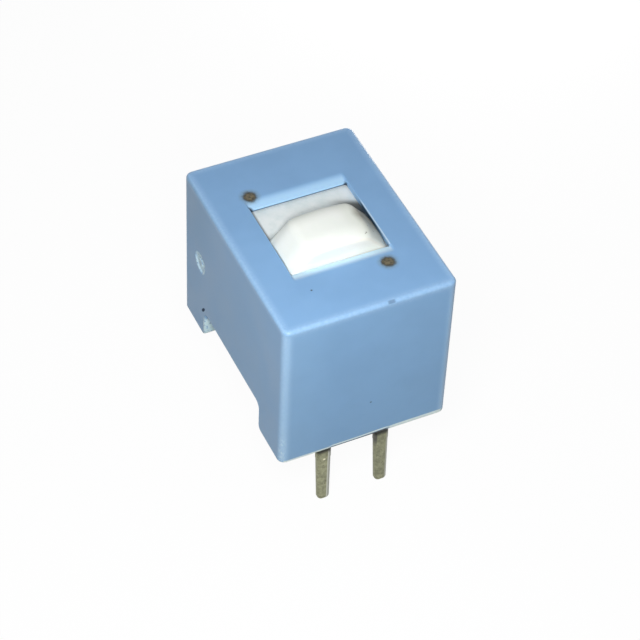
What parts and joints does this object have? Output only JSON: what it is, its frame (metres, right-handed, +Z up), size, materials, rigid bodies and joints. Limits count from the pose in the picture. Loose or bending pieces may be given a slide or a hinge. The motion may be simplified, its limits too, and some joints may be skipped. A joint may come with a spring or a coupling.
{
  "type": "slide dip switch",
  "caption": "Boxy through-hole slide switch: a moulded cover with a window, a rounded sliding knob in it and flat pins below.",
  "frame": {"origin": "middle of the footprint on the board's face, where the cover's feet stand", "axes": "+X along the pin pitch, +Y along the slide direction away from the knob's rest end, +Z up out of the board"},
  "size_m": [0.0072, 0.0094, 0.012],
  "materials": {
    "cover_plastic": "fine satin moulding",
    "base_plastic": "fine satin moulding",
    "slider_plastic": "smooth moulding",
    "contact_metal": "plated spring strip",
    "pin_metal": "dull tinned strip"
  },
  "bodies": {
    "housing": {"cover": "cover_plastic", "base": "base_plastic", "terminal_near_left": "pin_metal", "terminal_near_right": "pin_metal", "terminal_far_left": "pin_metal", "terminal_far_right": "pin_metal"},
    "slide": {"slider": "slider_plastic", "wiper_left": "contact_metal", "wiper_right": "contact_metal"}
  },
  "joints": [
    {"name": "slider_slide", "type": "slide", "parent": "housing", "child": "slide", "axis": [0, 1, 0], "range_m": [0, 0.00155]}
  ]
}
